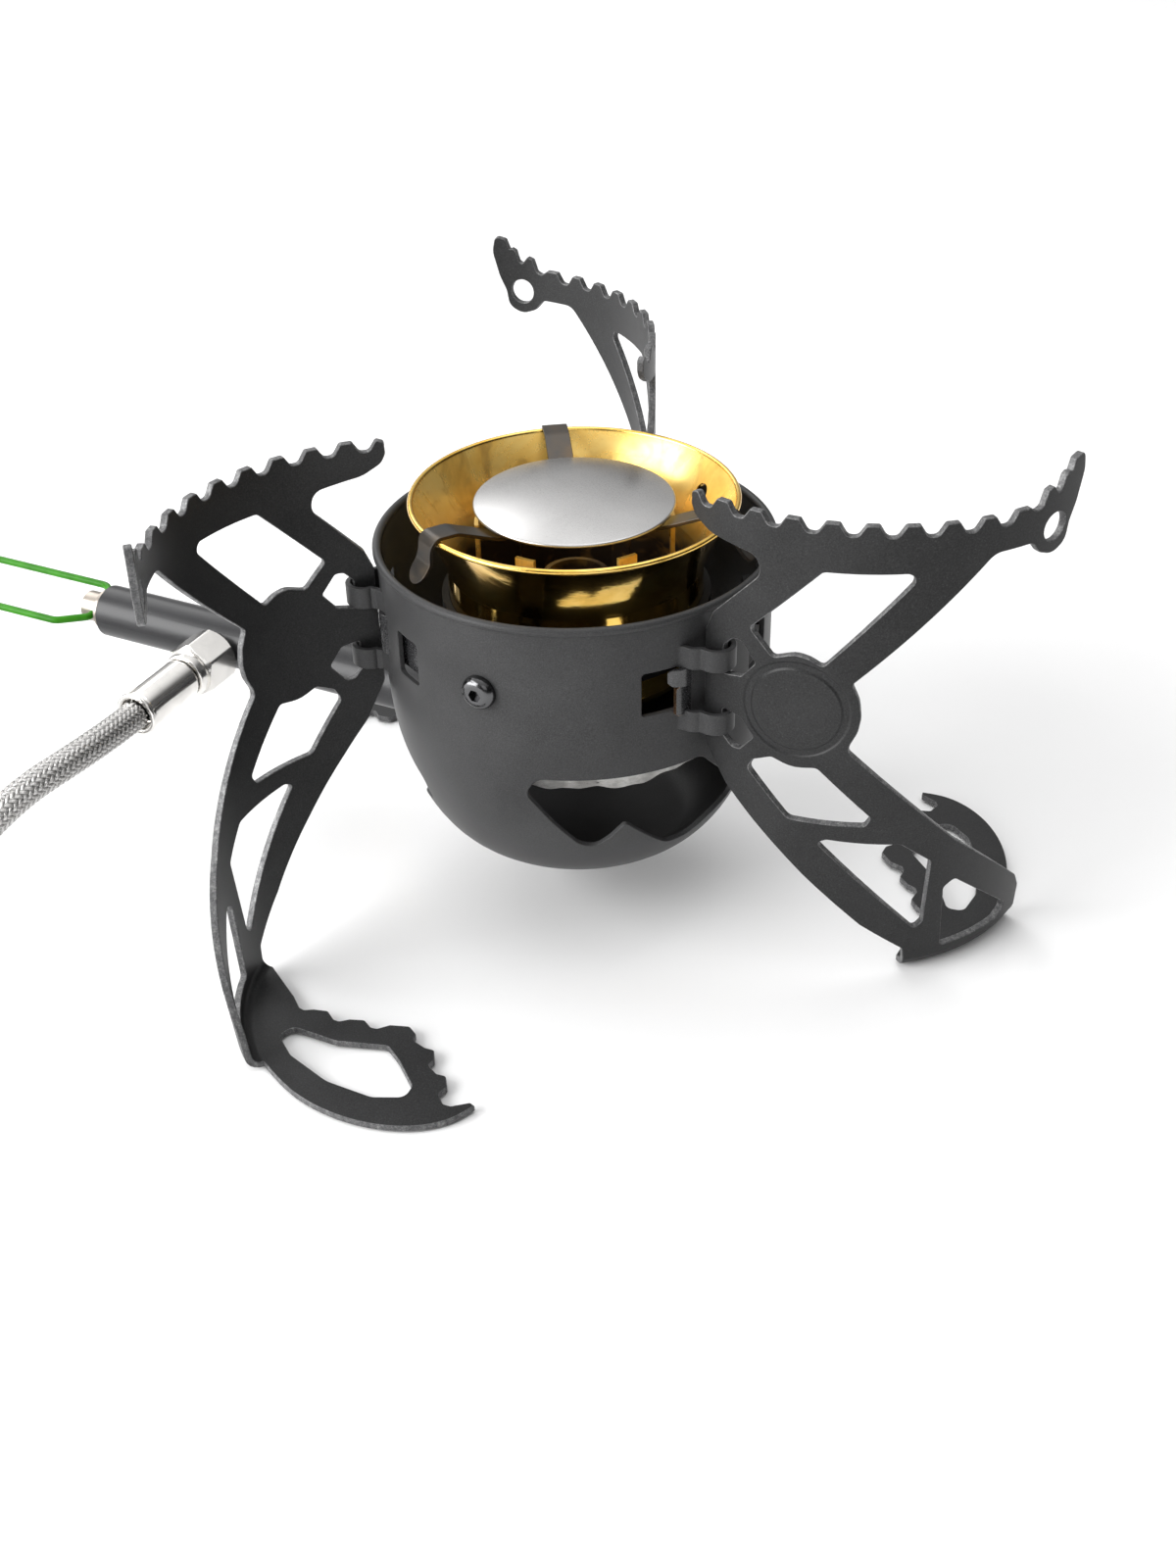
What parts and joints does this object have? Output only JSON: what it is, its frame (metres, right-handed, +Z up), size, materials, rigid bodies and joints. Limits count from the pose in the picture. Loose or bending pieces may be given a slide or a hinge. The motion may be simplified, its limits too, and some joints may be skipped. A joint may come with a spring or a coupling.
{
  "type": "multi-fuel camping stove",
  "caption": "Folding multi-fuel camping stove: dark windshield cup on hinged sheet-metal legs, brass burner bowl under a flame spreader, valve tube with wire handle, braided fuel hose.",
  "frame": {"origin": "on the ground, below the centre of the burner", "axes": "+Z up along the burner axis; the valve tube leaves towards -X and a little +Y; the front of the picture is -Y"},
  "size_m": [0.3321, 0.1942, 0.1201],
  "materials": {
    "cup_black": "black hard-anodised, satin",
    "leg_grey": "dark grey satin coat, bare cut edges",
    "dark_steel": "blackened",
    "brass": "polished, heat stained",
    "steel": "brushed stainless",
    "heat_steel": "stainless with heat tint",
    "nickel": "nickel plated",
    "tube_dark": "dark anodised, satin",
    "pad_white": "woven glass fibre",
    "seal_black": "moulded",
    "wire_green": "green anodised wire",
    "braid": "braided stainless sleeve",
    "tie_black": "soft strap"
  },
  "bodies": {
    "base": {"windshield_cup": "cup_black", "cup_screws": "dark_steel", "cup_screw_nuts": "steel", "burner_bracket": "steel", "burner_bowl": "brass", "mixing_tube": "brass", "flame_ring": "brass", "flame_ring_posts": "brass", "jet_block": "brass", "pad_tray": "dark_steel", "jet_nipple": "brass", "priming_pad": "pad_white", "burner_posts": "steel", "valve_tube": "tube_dark", "gland_nut": "nickel", "gland_seal": "seal_black", "hose_nut": "nickel", "hose_ferrule": "nickel", "hose_tube": "braid", "hose_coil": "braid", "hose_tail": "braid", "coupling_ferrule": "nickel", "coupling_nut": "nickel", "hose_tie": "tie_black"},
    "leg_right": {"leg_right": "leg_grey"},
    "leg_back": {"leg_back": "leg_grey"},
    "leg_left": {"leg_left": "leg_grey"},
    "spindle": {"valve_spindle": "nickel"},
    "handle": {"control_handle": "wire_green"},
    "spreader": {"flame_spreader": "steel", "spreader_arms": "heat_steel", "spreader_stud": "steel"}
  },
  "joints": [
    {"name": "leg_right_fold", "type": "hinge", "parent": "base", "child": "leg_right", "pos_m": [0.02825, -0.03655, 0.0707], "axis": [0, 0, 1], "range_deg": [0, 80]},
    {"name": "leg_back_fold", "type": "hinge", "parent": "base", "child": "leg_back", "pos_m": [0.01753, 0.04274, 0.0707], "axis": [0, 0, 1], "range_deg": [0, 80]},
    {"name": "leg_left_fold", "type": "hinge", "parent": "base", "child": "leg_left", "pos_m": [-0.04578, -0.00619, 0.0707], "axis": [0, 0, 1], "range_deg": [0, 80]},
    {"name": "valve_turn", "type": "hinge", "parent": "base", "child": "spindle", "pos_m": [-0.12358, 0.06297, 0.038], "axis": [-0.891, 0.454, 0], "range_deg": [0, 810]},
    {"name": "handle_swing", "type": "hinge", "parent": "spindle", "child": "handle", "pos_m": [-0.12358, 0.06297, 0.038], "axis": [-0.454, -0.891, 0], "range_deg": [-85, 85]},
    {"name": "flame_spreader_lift", "type": "slide", "parent": "base", "child": "spreader", "axis": [0, 0, 1], "range_m": [0, 0.03]}
  ]
}
